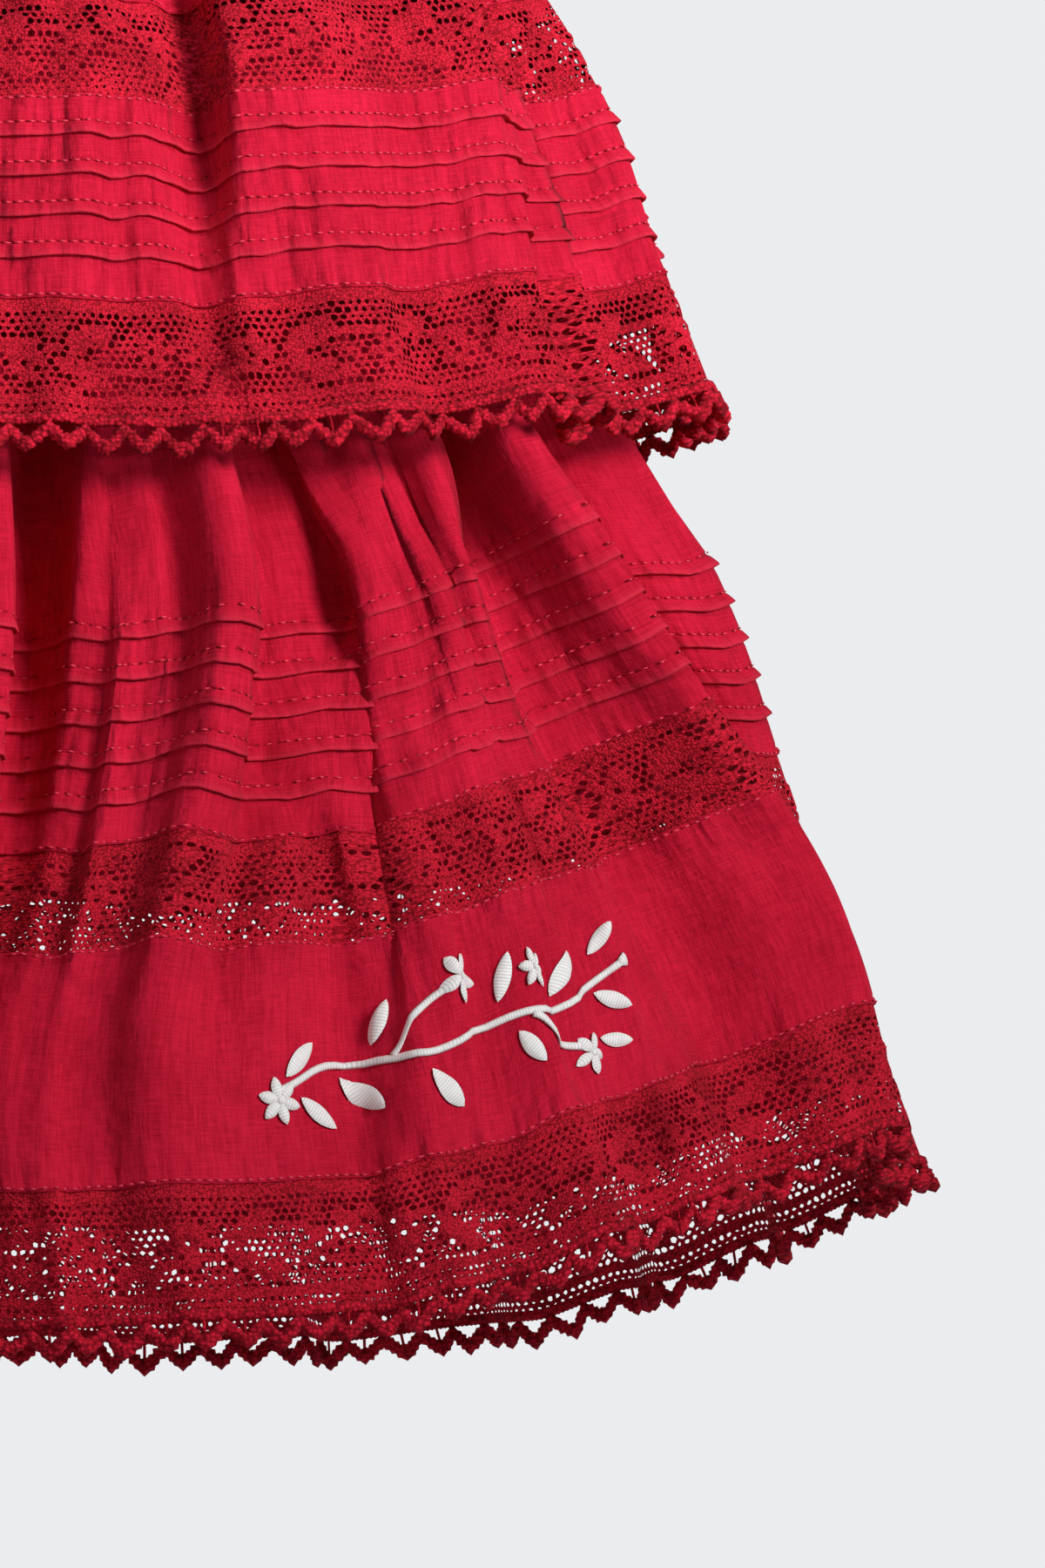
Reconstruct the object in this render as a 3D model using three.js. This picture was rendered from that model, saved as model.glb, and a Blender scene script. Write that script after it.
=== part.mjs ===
// A worn mini skirt with two gathered tiers, as the pieces that a maker cuts and sews together.
// Millimetres, +Z up. The origin is the middle of the waistband's top edge. Centre front faces -Y.
import * as THREE from 'three';

// Cloth and seams
const CLOTH = 1.2;
const SEAM_GAP = 0.3;
const SIDE_SEAM_GAP = 0.4;
const EDGE_TILT = 0.4;
const MARCH_STEP = 6;
const STEEPEST = 0.3;
// Folds run plumb down to a share of the tier's length, and lean over to their hem angle below it
const LEAN_START = 0.3;
const LEAN_SHARE = 0.55;
// How far a trough follows the higher of the two folds beside it
const TROUGH_LIFT = 0.25;
// How much of the cloth that its own path takes up a fold shows as a higher hem
const OWN_RISE = 0.4;

// Waistband and the base panel that carries the lower tier
const WAIST_HALF_WIDTH = 132;
const WAIST_HALF_DEPTH = 100;
const WAISTBAND_HEIGHT = 35;
const WAISTBAND_WALL = 3.6;
const LAYER_OFFSET = 1;
const PLAIN_COLUMNS = 48;
const BASE_DROP = 84.7;
const BASE_FLARE = { width: 29, depth: 25 };
const BASE_SWELL = 1.3;
const BASE_RINGS = [0, 0.35, 0.7, 1];

// Tucks: from the stitch line down to the folded edge, and how far that edge stands off the cloth
const TUCK_HEIGHT = 3.6;
const TUCK_RAISE = 1.1;
const TUCK_RETURN = 0.4;
const TUCK_PITCH = 10.4;

// Picot edging
const PICOT_PITCH = 9.4;
const PICOT_VALLEY = 0.3;

const POINTS_PER_HALF_FOLD = 2;

const RED = 0xb8142c;
const CLOTH_FINISH = { color: RED, roughness: 0.9, metalness: 0 };
const LACE_FINISH = { color: 0xa81430, roughness: 0.92, metalness: 0 };

// A tier's strips by how far down the cloth each one ends, the folded edge of its first tuck, how
// far down its gathers open, and its side seams as a count of folds on from centre front
const UPPER = {
  topZ: -WAISTBAND_HEIGHT - SEAM_GAP - EDGE_TILT,
  ends: { topPanel: 47, letInLace: 73, tuckPanel: 125.5, hemLace: 153.5, picotEdging: 163 },
  tucks: 4,
  firstTuck: 84,
  gatherLength: 34,
  sideSeams: [4, 12],
};
const LOWER = {
  topZ: -WAISTBAND_HEIGHT - BASE_DROP - 2 * SEAM_GAP - EDGE_TILT,
  ends: { tuckPanel: 165.5, letInLace: 191, plainBand: 250.5, hemLace: 280, picotEdging: 289.5 },
  tucks: 5,
  firstTuck: 113.5,
  gatherLength: 40,
  sideSeams: [8, 20],
};

function table(columns, rows) {
  return rows.map((row) => Object.fromEntries(columns.map((name, i) => [name, row[i]])));
}

// The mean line of each tier, without its folds
const PROFILE_COLUMNS = ['down', 'width', 'depth'];
const UPPER_PROFILE = table(PROFILE_COLUMNS, [
  [0, 133, 101],
  [26, 149, 116],
  [58, 165, 130],
  [108, 185, 147],
  [166, 206, 162],
]);
const LOWER_PROFILE = table(PROFILE_COLUMNS, [
  [0, 160, 124],
  [60, 172, 136],
  [112, 197, 155],
  [160, 212, 169],
  [220, 232, 187],
  [290, 254, 203],
]);

// One row for each fold. Its crest's angle from centre front at the tier's top and hem in degrees,
// how far the crest stands out there, how far the trough after it falls in, where that trough lies
// on the way to the next crest, and how far the cloth is drawn up near the top and at the hem.
const FOLD_COLUMNS = [
  'top', 'hem', 'outTop', 'outHem', 'dipTop', 'dipHem', 'trough', 'liftTop', 'liftHem',
];
const UPPER_FOLDS = table(FOLD_COLUMNS, [
  [15, 13, 3, 3, 8, 1, 0.6, 0, 0],
  [36, 34, 5, 3, 1, 1, 0.45, 2, 1],
  [57, 51, 8, 8, 8, 5, 0.45, 3, 4],
  [80, 75, 6, 7, 6, 6, 0.5, 4, 5],
  [101, 99, 5, 6, 6, 6, 0.5, 1, 3],
  [124, 122, 6, 5, 4, 4, 0.55, -1, -1],
  [147, 146, 4, 6, 8, 5, 0.45, -2, -5],
  [170, 170, 6, 5, 5, 6, 0.5, -3, -7],
  [193, 194, 5, 6, 7, 4, 0.5, -3, -8],
  [215, 216, 7, 5, 5, 7, 0.55, -2, -7],
  [238, 237, 4, 7, 8, 5, 0.5, -1, -4],
  [260, 261, 7, 6, 5, 6, 0.45, 0, 1],
  [283, 282, 5, 7, 8, 6, 0.5, 1, 4],
  [305, 306, 7, 6, 6, 4, 0.55, 1, 4],
  [327, 326, 4, 5, 8, 5, 0.5, 1, 2],
  [350, 351, 5, 3, 6, 3, 0.5, 0, 0],
]);
const LOWER_FOLDS = table(FOLD_COLUMNS, [
  [8.5, 4, 9, 3, 9, 2, 0.5, 0, 0],
  [18.5, 11, 5, 2, 1, 1, 0.45, 0, 0],
  [26.5, 18, 8, 4, 8, 4, 0.78, 1, 1],
  [37, 34, 5, 2, 1, 1, 0.5, 2, 8],
  [42, 44, 5, 6, 2, 3, 0.5, 4, 19],
  [47, 52, 4, 3, 8, 5, 0.4, 4, 26],
  [53, 70, 12, 9, 9, 7, 0.5, 16, 35],
  [78, 92, 6, 7, 6, 7, 0.5, 6, 25],
  [97, 108, 7, 8, 8, 6, 0.5, 5, 18],
  [113, 121, 5, 7, 5, 7, 0.55, 3, 6],
  [128, 134, 8, 6, 7, 4, 0.45, -1, -7],
  [142, 147, 5, 7, 6, 6, 0.5, -4, -17],
  [157, 160, 7, 5, 8, 5, 0.5, -5, -20],
  [170, 174, 6, 7, 5, 6, 0.55, -5, -20],
  [184, 187, 8, 5, 7, 5, 0.5, -5, -18],
  [198, 200, 5, 7, 8, 6, 0.45, -4, -15],
  [213, 214, 7, 5, 5, 4, 0.5, -3, -10],
  [227, 228, 6, 7, 7, 7, 0.55, -1, -4],
  [242, 241, 8, 6, 8, 5, 0.5, 1, 3],
  [257, 255, 5, 7, 6, 6, 0.45, 3, 10],
  [271, 269, 7, 7, 8, 7, 0.5, 5, 15],
  [286, 283, 6, 8, 5, 6, 0.5, 5, 15],
  [301, 299, 8, 6, 7, 5, 0.55, 3, 10],
  [316, 314, 5, 6, 8, 6, 0.5, 1, 5],
  [331, 329, 7, 5, 6, 4, 0.45, 0, 2],
  [348, 345, 5, 4, 8, 4, 0.5, 0, 0],
]);

function mix(a, b, t) {
  return a + (b - a) * t;
}

function soften(t) {
  const held = Math.min(Math.max(t, 0), 1);
  return held * held * (3 - 2 * held);
}

function profileAt(profile, down) {
  const next = profile.findIndex((row) => row.down >= down);
  if (next < 1) {
    return next < 0 ? profile[profile.length - 1] : profile[0];
  }
  const [above, below] = [profile[next - 1], profile[next]];
  const t = (down - above.down) / (below.down - above.down);
  return { width: mix(above.width, below.width, t), depth: mix(above.depth, below.depth, t) };
}

// Crest and trough of every fold in turn, at one distance down the cloth
function knotsAt(tier, folds, down) {
  const t = down / tier.ends.picotEdging;
  const lean = soften((t - LEAN_START) / LEAN_SHARE);
  const gathered = soften(down / tier.gatherLength);
  return folds.flatMap((fold, i) => {
    const next = folds[(i + 1) % folds.length];
    const turn = i + 1 === folds.length ? 360 : 0;
    const crest = mix(fold.top, fold.hem, lean);
    const nextCrest = mix(next.top, next.hem, lean) + turn;
    const lift = gathered * mix(fold.liftTop, fold.liftHem, t);
    const nextLift = gathered * mix(next.liftTop, next.liftHem, t);
    return [
      { angle: crest, out: gathered * mix(fold.outTop, fold.outHem, t), lift },
      {
        angle: mix(crest, nextCrest, fold.trough),
        out: -gathered * mix(fold.dipTop, fold.dipHem, t),
        lift: mix(Math.min(lift, nextLift), Math.max(lift, nextLift), TROUGH_LIFT),
      },
    ];
  });
}

// The cloth's middle surface as a grid of points, columns round the tier and rows down the cloth.
// A row lies one step of cloth below the row above it, so that a wider flare lifts what is below.
function drapeTier(tier, profile, folds) {
  const length = tier.ends.picotEdging;
  const steps = Math.ceil(length / MARCH_STEP);
  const step = length / steps;
  const columns = folds.length * 2 * POINTS_PER_HALF_FOLD;
  const hang = new Array(columns).fill(tier.topZ);
  const rows = [];
  for (let s = 0; s <= steps; s += 1) {
    const down = s * step;
    const mean = profileAt(profile, down);
    const meanAbove = profileAt(profile, down - step);
    const knots = knotsAt(tier, folds, down);
    const row = [];
    for (let c = 0; c < columns; c += 1) {
      const k = Math.floor(c / POINTS_PER_HALF_FOLD);
      const t = (c % POINTS_PER_HALF_FOLD) / POINTS_PER_HALF_FOLD;
      const here = knots[k];
      const next = knots[(k + 1) % knots.length];
      const turn = k + 1 === knots.length ? 360 : 0;
      const angle = THREE.MathUtils.degToRad(mix(here.angle, next.angle + turn, t));
      const out = mix(here.out, next.out, soften(t));
      const lift = mix(here.lift, next.lift, soften(t));
      const [sine, cosine] = [Math.sin(angle), Math.cos(angle)];
      const x = (mean.width + out) * sine;
      const y = -(mean.depth + out) * cosine;
      if (s > 0) {
        const above = rows[s - 1][c];
        const own = Math.hypot(x - above.x, y - above.y);
        const shared = Math.hypot(
          (mean.width - meanAbove.width) * sine, (mean.depth - meanAbove.depth) * cosine,
        );
        const across = mix(shared, own, OWN_RISE);
        hang[c] -= Math.sqrt(Math.max(step * step - across * across, (STEEPEST * step) ** 2));
      }
      row.push(new THREE.Vector3(x, y, hang[c] + lift));
    }
    rows.push(row);
  }
  return { rows, step, columns };
}

// A point on the draped cloth at a column and a distance down, moved out along the cloth's normal
function clothPoint(drape, column, down, out) {
  const { rows, step, columns } = drape;
  const s = Math.min(Math.floor(down / step), rows.length - 2);
  const t = down / step - s;
  const wrap = (c) => (c + columns) % columns;
  const at = (c) => rows[s][wrap(c)].clone().lerp(rows[s + 1][wrap(c)], t);
  const here = at(column);
  const around = at(column + 1).sub(at(column - 1));
  const above = rows[Math.max(s - 1, 0)][wrap(column)];
  const below = rows[Math.min(s + 2, rows.length - 1)][wrap(column)];
  const normal = around.cross(above.clone().sub(below)).normalize();
  return here.addScaledVector(normal, out);
}

// The same between two columns, on the flat facet that joins them
function facetPoint(drape, place, down, out) {
  const column = Math.floor(place);
  const start = clothPoint(drape, column, down, out);
  return start.lerp(clothPoint(drape, column + 1, down, out), place - column);
}

function meshGeometry(positions, faces) {
  const geometry = new THREE.BufferGeometry();
  geometry.setAttribute('position', new THREE.Float32BufferAttribute(positions, 3));
  geometry.setIndex(faces);
  return geometry;
}

// Triangles that fill the space between two lines of points, each point as [place, index]
function zipLines(upper, lower) {
  const faces = [];
  let i = 0;
  let j = 0;
  while (i + 1 < upper.length || j + 1 < lower.length) {
    const nextUpper = i + 1 < upper.length ? upper[i + 1][0] : Infinity;
    const nextLower = j + 1 < lower.length ? lower[j + 1][0] : Infinity;
    if (nextUpper <= nextLower) {
      faces.push([upper[i][1], upper[i + 1][1], lower[j][1]]);
      i += 1;
    } else {
      faces.push([upper[i][1], lower[j + 1][1], lower[j][1]]);
      j += 1;
    }
  }
  return faces;
}

// Rings of equal length joined in turn, the last one to the first where the piece is a whole tube.
// The inner side's quads are split along the same line as the outer side's, so that a twisted
// stretch of wall keeps its thickness.
function joinRings(rings, outerCount, whole) {
  const size = rings[0].length;
  const faces = [];
  for (let r = 0; r + (whole ? 0 : 1) < rings.length; r += 1) {
    const s = (r + 1) % rings.length;
    for (let i = 0; i < size; i += 1) {
      const j = (i + 1) % size;
      const [a, b, c, d] = [r * size + i, r * size + j, s * size + j, s * size + i];
      if (i < outerCount) {
        faces.push(a, b, c, a, c, d);
      } else {
        faces.push(a, b, d, b, c, d);
      }
    }
  }
  return faces;
}

// A wall from its sections round the body, capped at both ends unless it is a whole tube.
// Each section runs down the outer side, with outerCount points, and back up the inner side.
function wallGeometry(rings, section, outerCount, whole) {
  const faces = joinRings(rings, outerCount, whole);
  const indexed = section.map(({ x }, i) => [x, i]);
  const outer = indexed.slice(0, outerCount);
  const inner = indexed.slice(outerCount).reverse();
  const last = (rings.length - 1) * section.length;
  if (!whole) {
    zipLines(outer, inner).forEach(([a, b, c]) => {
      faces.push(a, c, b, last + a, last + b, last + c);
    });
  }
  return meshGeometry(rings.flat().flatMap((point) => point.toArray()), faces);
}

// Where a strip's wall runs: down its outer side with any raised tucks, and back up its inner side
function wallSection(top, bottom, stops, raises) {
  const half = CLOTH / 2;
  const outer = [[top, half], ...raises.map(([down, raise]) => [down, half + raise]), [bottom, half]];
  const inner = [[bottom, -half], ...stops.map((down) => [down, -half]).reverse(), [top, -half]];
  const section = [...outer, ...inner].map(([down, out]) => new THREE.Vector2(down, out));
  return { section, outerCount: outer.length };
}

// One strip of a tier between its two side seams
function stripGeometry(drape, wall, from, to) {
  const { section, outerCount } = wall;
  const rings = [];
  for (let c = from; c <= to; c += 1) {
    rings.push(section.map(({ x, y }) => clothPoint(drape, c, x, y)));
  }
  const ends = [[0, 1], [rings.length - 1, rings.length - 2]];
  ends.forEach(([end, next]) => {
    rings[end] = rings[end].map((point, i) => {
      const inward = rings[next][i].clone().sub(point).normalize();
      return point.clone().addScaledVector(inward, SIDE_SEAM_GAP / 2);
    });
  });
  return wallGeometry(rings, section, outerCount, false);
}

function tuckRows(tier) {
  const rows = [];
  for (let i = 0; i < tier.tucks; i += 1) {
    const edge = tier.firstTuck + i * TUCK_PITCH;
    rows.push([edge - TUCK_HEIGHT, 0], [edge, TUCK_RAISE], [edge + TUCK_RETURN, 0]);
  }
  return rows;
}

// Picot edging: a straight top edge on the tier's columns, and a zigzag of teeth below
function picotGeometry(drape, top, bottom, from, to) {
  const lengths = [0];
  for (let c = from; c < to; c += 1) {
    const span = clothPoint(drape, c, top, 0).distanceTo(clothPoint(drape, c + 1, top, 0));
    lengths.push(lengths[lengths.length - 1] + span);
  }
  const whole = lengths[lengths.length - 1];
  const placeAt = (share) => {
    const length = share * whole;
    const next = Math.max(lengths.findIndex((value) => value >= length), 1);
    const t = (length - lengths[next - 1]) / (lengths[next] - lengths[next - 1]);
    return from + next - 1 + t;
  };
  const margin = SIDE_SEAM_GAP / 2 / whole;
  const teeth = Math.round(whole / PICOT_PITCH);
  const zigzag = [];
  for (let i = 0; i <= 2 * teeth; i += 1) {
    const share = mix(margin, 1 - margin, i / (2 * teeth));
    const down = i % 2 === 1 ? bottom : mix(top, bottom, PICOT_VALLEY);
    zigzag.push([placeAt(share), down]);
  }
  const straight = [[placeAt(margin), top]];
  for (let c = from + 1; c < to; c += 1) {
    straight.push([c, top]);
  }
  straight.push([placeAt(1 - margin), top]);

  const half = CLOTH / 2;
  const border = [...straight, ...zigzag];
  const positions = [];
  [half, -half].forEach((out) => {
    border.forEach(([place, down]) => {
      positions.push(...facetPoint(drape, place, down, out).toArray());
    });
  });
  const size = border.length;
  const upper = straight.map(([place], n) => [place, n]);
  const lower = zigzag.map(([place], n) => [place, straight.length + n]);
  const valleys = lower.filter((point, n) => n % 2 === 0);
  const toothFaces = valleys.slice(1).map(([, index]) => [index - 2, index, index - 1]);
  const faces = [];
  [...zipLines(upper, valleys), ...toothFaces].forEach(([a, b, c]) => {
    faces.push(a, c, b, size + a, size + b, size + c);
  });
  const loop = [...upper, ...lower.reverse()].map(([, index]) => index);
  loop.forEach((a, n) => {
    const b = loop[(n + 1) % loop.length];
    faces.push(a, b, size + b, a, size + b, size + a);
  });
  return meshGeometry(positions, faces);
}

// A plain tube wall through oval rings, open at both ends, all round or between two angles
function ovalWall(rings, wall, from, to) {
  const whole = to - from >= 360;
  const count = Math.round((PLAIN_COLUMNS * (to - from)) / 360);
  const sides = [...rings.map((ring) => [ring, wall / 2])];
  sides.push(...rings.map((ring) => [ring, -wall / 2]).reverse());
  const section = sides.map(([ring, out]) => new THREE.Vector2(-ring.z, out));
  const seam = THREE.MathUtils.radToDeg(SIDE_SEAM_GAP / 2 / WAIST_HALF_WIDTH);
  const stations = [];
  for (let i = 0; i <= count; i += 1) {
    const angle = whole ? mix(from, to, i / count) : mix(from + seam, to - seam, i / count);
    const turn = THREE.MathUtils.degToRad(angle);
    stations.push(sides.map(([ring, out]) => new THREE.Vector3(
      (ring.width + out) * Math.sin(turn), -(ring.depth + out) * Math.cos(turn), ring.z,
    )));
  }
  const kept = whole ? stations.slice(0, count) : stations;
  return wallGeometry(kept, section, rings.length, whole);
}

const group = new THREE.Group();

function addPiece(name, geometry, finish) {
  geometry.computeVertexNormals();
  const piece = new THREE.Mesh(geometry, new THREE.MeshStandardMaterial(finish));
  piece.name = name;
  group.add(piece);
}

function addWaistband() {
  const ring = { width: WAIST_HALF_WIDTH, depth: WAIST_HALF_DEPTH };
  const rings = [{ ...ring, z: 0 }, { ...ring, z: -WAISTBAND_HEIGHT }];
  addPiece('waistband', ovalWall(rings, WAISTBAND_WALL, 0, 360), CLOTH_FINISH);
}

function addBasePanel() {
  const rings = BASE_RINGS.map((share) => {
    const flare = share ** BASE_SWELL;
    return {
      z: -WAISTBAND_HEIGHT - SEAM_GAP - BASE_DROP * share,
      width: WAIST_HALF_WIDTH - LAYER_OFFSET + BASE_FLARE.width * flare,
      depth: WAIST_HALF_DEPTH - LAYER_OFFSET + BASE_FLARE.depth * flare,
    };
  });
  addPiece('base_panel_front', ovalWall(rings, CLOTH, -90, 90), CLOTH_FINISH);
  addPiece('base_panel_back', ovalWall(rings, CLOTH, 90, 270), CLOTH_FINISH);
}

// Every strip of one tier, each as a front and a back
function addTier(prefix, tier, profile, folds, innerStops) {
  const drape = drapeTier(tier, profile, folds);
  const perFold = 2 * POINTS_PER_HALF_FOLD;
  const [right, left] = tier.sideSeams.map((fold) => fold * perFold);
  const halves = [['front', left - drape.columns, right], ['back', right, left]];
  const names = {
    topPanel: 'top_panel',
    letInLace: 'let_in_lace',
    tuckPanel: 'tuck_panel',
    plainBand: 'plain_band',
    hemLace: 'hem_lace',
    picotEdging: 'picot_edging',
  };
  let top = 0;
  Object.entries(tier.ends).forEach(([strip, end]) => {
    const start = top === 0 ? 0 : top + SEAM_GAP;
    const stops = innerStops.filter((down) => down > start + 2 && down < end - 2);
    const plain = stops.map((down) => [down, 0]);
    const tucks = strip === 'tuckPanel' ? tuckRows(tier) : [];
    const firstTuck = tucks.length > 0 ? tucks[0][0] : Infinity;
    const raises = [...plain.filter(([down]) => down < firstTuck - 2), ...tucks];
    const finish = strip.endsWith('Lace') || strip === 'picotEdging' ? LACE_FINISH : CLOTH_FINISH;
    halves.forEach(([side, from, to]) => {
      const name = `${prefix}_${names[strip]}_${side}`;
      const geometry = strip === 'picotEdging'
        ? picotGeometry(drape, start, end, from, to)
        : stripGeometry(drape, wallSection(start, end, stops, raises), from, to);
      addPiece(name, geometry, finish);
    });
    top = end;
  });
}

addWaistband();
addBasePanel();
addTier('upper', UPPER, UPPER_PROFILE, UPPER_FOLDS, [11, 22, 34, 99]);
addTier('lower', LOWER, LOWER_PROFILE, LOWER_FOLDS, [15, 30, 60, 88, 112, 139, 220]);

export default group;
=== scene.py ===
import math

import bmesh
import bpy
import numpy as np
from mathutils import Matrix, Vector


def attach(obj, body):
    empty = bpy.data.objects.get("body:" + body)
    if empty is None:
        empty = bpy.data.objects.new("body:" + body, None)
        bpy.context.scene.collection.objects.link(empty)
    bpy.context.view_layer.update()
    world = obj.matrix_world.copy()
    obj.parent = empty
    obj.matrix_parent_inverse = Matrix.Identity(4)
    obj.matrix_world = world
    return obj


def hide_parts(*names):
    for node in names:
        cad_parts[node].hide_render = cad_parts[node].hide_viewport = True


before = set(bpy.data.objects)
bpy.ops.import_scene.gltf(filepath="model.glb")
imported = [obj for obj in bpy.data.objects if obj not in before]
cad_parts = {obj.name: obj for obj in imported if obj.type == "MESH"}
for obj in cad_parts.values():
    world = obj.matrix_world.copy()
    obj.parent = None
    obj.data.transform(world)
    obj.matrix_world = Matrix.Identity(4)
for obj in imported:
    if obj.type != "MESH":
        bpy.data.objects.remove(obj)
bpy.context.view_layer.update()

MM = 0.001

# Camera: level, as high as the skirt's middle, three metres in front of it
CAMERA_PLACE = (0.157, -3.1, -0.264)
CAMERA_REACH = 3.0
VIEW_HEIGHT = 0.378
SENSOR_HEIGHT = 36


def link(data, name):
    thing = bpy.data.objects.new(name, data)
    bpy.context.scene.collection.objects.link(thing)
    return thing


def make_camera():
    data = bpy.data.cameras.new("camera")
    data.sensor_fit = "VERTICAL"
    data.sensor_height = SENSOR_HEIGHT
    data.lens = SENSOR_HEIGHT * CAMERA_REACH / VIEW_HEIGHT
    camera = link(data, "camera")
    camera.location = CAMERA_PLACE
    camera.rotation_euler = (math.radians(90), 0, 0)
    bpy.context.scene.camera = camera


make_camera()

# How the cloth hangs, in millimetres
MARCH_STEP = 3
CREASE_STRENGTH = 1.35
# One row a kind of soft wave round the cloth: fewest and most to a turn, its size, how many
WAVES = ((14, 30, 0.5, 5), (44, 84, 0.26, 10))
WAVE_LEAN = 3
WAVE_SWAY = 0.8
WAVE_SWAY_SPAN = 37
WAVE_START = 30
CREASE_ROUNDING = 0.7
SIDE_SEAM_DEPTH = 0.5
SIDE_SEAM_HALF_WIDTH = 1.3 / 60
STEEPEST = 0.3
LEAN_START = 0.3
LEAN_SHARE = 0.55
TROUGH_LIFT = 0.25
OWN_RISE = 0.4
POINTS_PER_HALF_FOLD = 8
NORMAL_STEP_ROUND = 0.02
NORMAL_STEP_DOWN = 0.6

WAIST_HALF_WIDTH = 132
WAIST_HALF_DEPTH = 100
WAISTBAND_HEIGHT = 35
WAISTBAND_WALL = 3.6
WAISTBAND_LAP = 1.4
LAYER_OFFSET = 1
BASE_DROP = 84.7
BASE_FLARE = (29, 25)
BASE_SWELL = 1.3
SEAM_GAP = 0.3
EDGE_TILT = 0.4

TUCK_HEIGHT = 3.6
TUCK_PITCH = 10.4
PICOT_PITCH = 9.4

# Each tier's strips by how far down the cloth they end, its tucks, and its side seams in folds
UPPER = {
    "top_z": -WAISTBAND_HEIGHT - SEAM_GAP - EDGE_TILT,
    "ends": {"top_panel": 47, "let_in_lace": 73, "tuck_panel": 125.5, "hem_lace": 153.5,
             "picot_edging": 163},
    "tucks": 4,
    "first_tuck": 84,
    "gather_length": 34,
    "side_seams": (4, 12),
}
LOWER = {
    "top_z": -WAISTBAND_HEIGHT - BASE_DROP - 2 * SEAM_GAP - EDGE_TILT,
    "ends": {"tuck_panel": 165.5, "let_in_lace": 191, "plain_band": 250.5, "hem_lace": 280,
             "picot_edging": 289.5},
    "tucks": 5,
    "first_tuck": 113.5,
    "gather_length": 40,
    "side_seams": (8, 20),
}

# The mean line of each tier without its folds: down the cloth, half width, half depth
UPPER_PROFILE = [(0, 133, 101), (26, 149, 116), (58, 165, 130), (108, 185, 147), (166, 206, 162)]
LOWER_PROFILE = [(0, 160, 124), (60, 172, 136), (112, 197, 155), (160, 212, 169), (220, 232, 187),
                 (290, 254, 203)]

# One row a fold: its crest's angle at the top and hem in degrees, how far it stands out there,
# how far the trough after it falls in, where that trough lies on the way to the next crest, and
# how far the cloth is drawn up near the top and at the hem
FOLD_COLUMNS = ("top", "hem", "out_top", "out_hem", "dip_top", "dip_hem", "trough", "lift_top",
                "lift_hem")
UPPER_FOLDS = [
    (15, 13, 3, 3, 8, 1, 0.6, 0, 0), (36, 34, 5, 3, 1, 1, 0.45, 2, 1),
    (57, 51, 8, 8, 8, 5, 0.45, 3, 4), (80, 75, 6, 7, 6, 6, 0.5, 4, 5),
    (101, 99, 5, 6, 6, 6, 0.5, 1, 3), (124, 122, 6, 5, 4, 4, 0.55, -1, -1),
    (147, 146, 4, 6, 8, 5, 0.45, -2, -5), (170, 170, 6, 5, 5, 6, 0.5, -3, -7),
    (193, 194, 5, 6, 7, 4, 0.5, -3, -8), (215, 216, 7, 5, 5, 7, 0.55, -2, -7),
    (238, 237, 4, 7, 8, 5, 0.5, -1, -4), (260, 261, 7, 6, 5, 6, 0.45, 0, 1),
    (283, 282, 5, 7, 8, 6, 0.5, 1, 4), (305, 306, 7, 6, 6, 4, 0.55, 1, 4),
    (327, 326, 4, 5, 8, 5, 0.5, 1, 2), (350, 351, 5, 3, 6, 3, 0.5, 0, 0),
]
LOWER_FOLDS = [
    (8.5, 4, 9, 3, 9, 2, 0.5, 0, 0), (18.5, 11, 5, 2, 1, 1, 0.45, 0, 0),
    (26.5, 18, 8, 4, 8, 4, 0.78, 1, 1), (37, 34, 5, 2, 1, 1, 0.5, 2, 8),
    (42, 44, 5, 6, 2, 3, 0.5, 4, 19), (47, 52, 4, 3, 8, 5, 0.4, 4, 26),
    (53, 70, 12, 9, 9, 7, 0.5, 16, 35), (78, 92, 6, 7, 6, 7, 0.5, 6, 25),
    (97, 108, 7, 8, 8, 6, 0.5, 5, 18), (113, 121, 5, 7, 5, 7, 0.55, 3, 6),
    (128, 134, 8, 6, 7, 4, 0.45, -1, -7), (142, 147, 5, 7, 6, 6, 0.5, -4, -17),
    (157, 160, 7, 5, 8, 5, 0.5, -5, -20), (170, 174, 6, 7, 5, 6, 0.55, -5, -20),
    (184, 187, 8, 5, 7, 5, 0.5, -5, -18), (198, 200, 5, 7, 8, 6, 0.45, -4, -15),
    (213, 214, 7, 5, 5, 4, 0.5, -3, -10), (227, 228, 6, 7, 7, 7, 0.55, -1, -4),
    (242, 241, 8, 6, 8, 5, 0.5, 1, 3), (257, 255, 5, 7, 6, 6, 0.45, 3, 10),
    (271, 269, 7, 7, 8, 7, 0.5, 5, 15), (286, 283, 6, 8, 5, 6, 0.5, 5, 15),
    (301, 299, 8, 6, 7, 5, 0.55, 3, 10), (316, 314, 5, 6, 8, 6, 0.5, 1, 5),
    (331, 329, 7, 5, 6, 4, 0.45, 0, 2), (348, 345, 5, 4, 8, 4, 0.5, 0, 0),
]


def mix(a, b, t):
    return a + (b - a) * t


def soften(t):
    held = np.clip(t, 0, 1)
    return held * held * (3 - 2 * held)


def spline_weights(t):
    """Weights of the four points round a place, for a smooth curve through them all."""
    return (
        (-t + 2 * t**2 - t**3) / 2,
        (2 - 5 * t**2 + 3 * t**3) / 2,
        (t + 4 * t**2 - 3 * t**3) / 2,
        (-(t**2) + t**3) / 2,
    )


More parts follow.
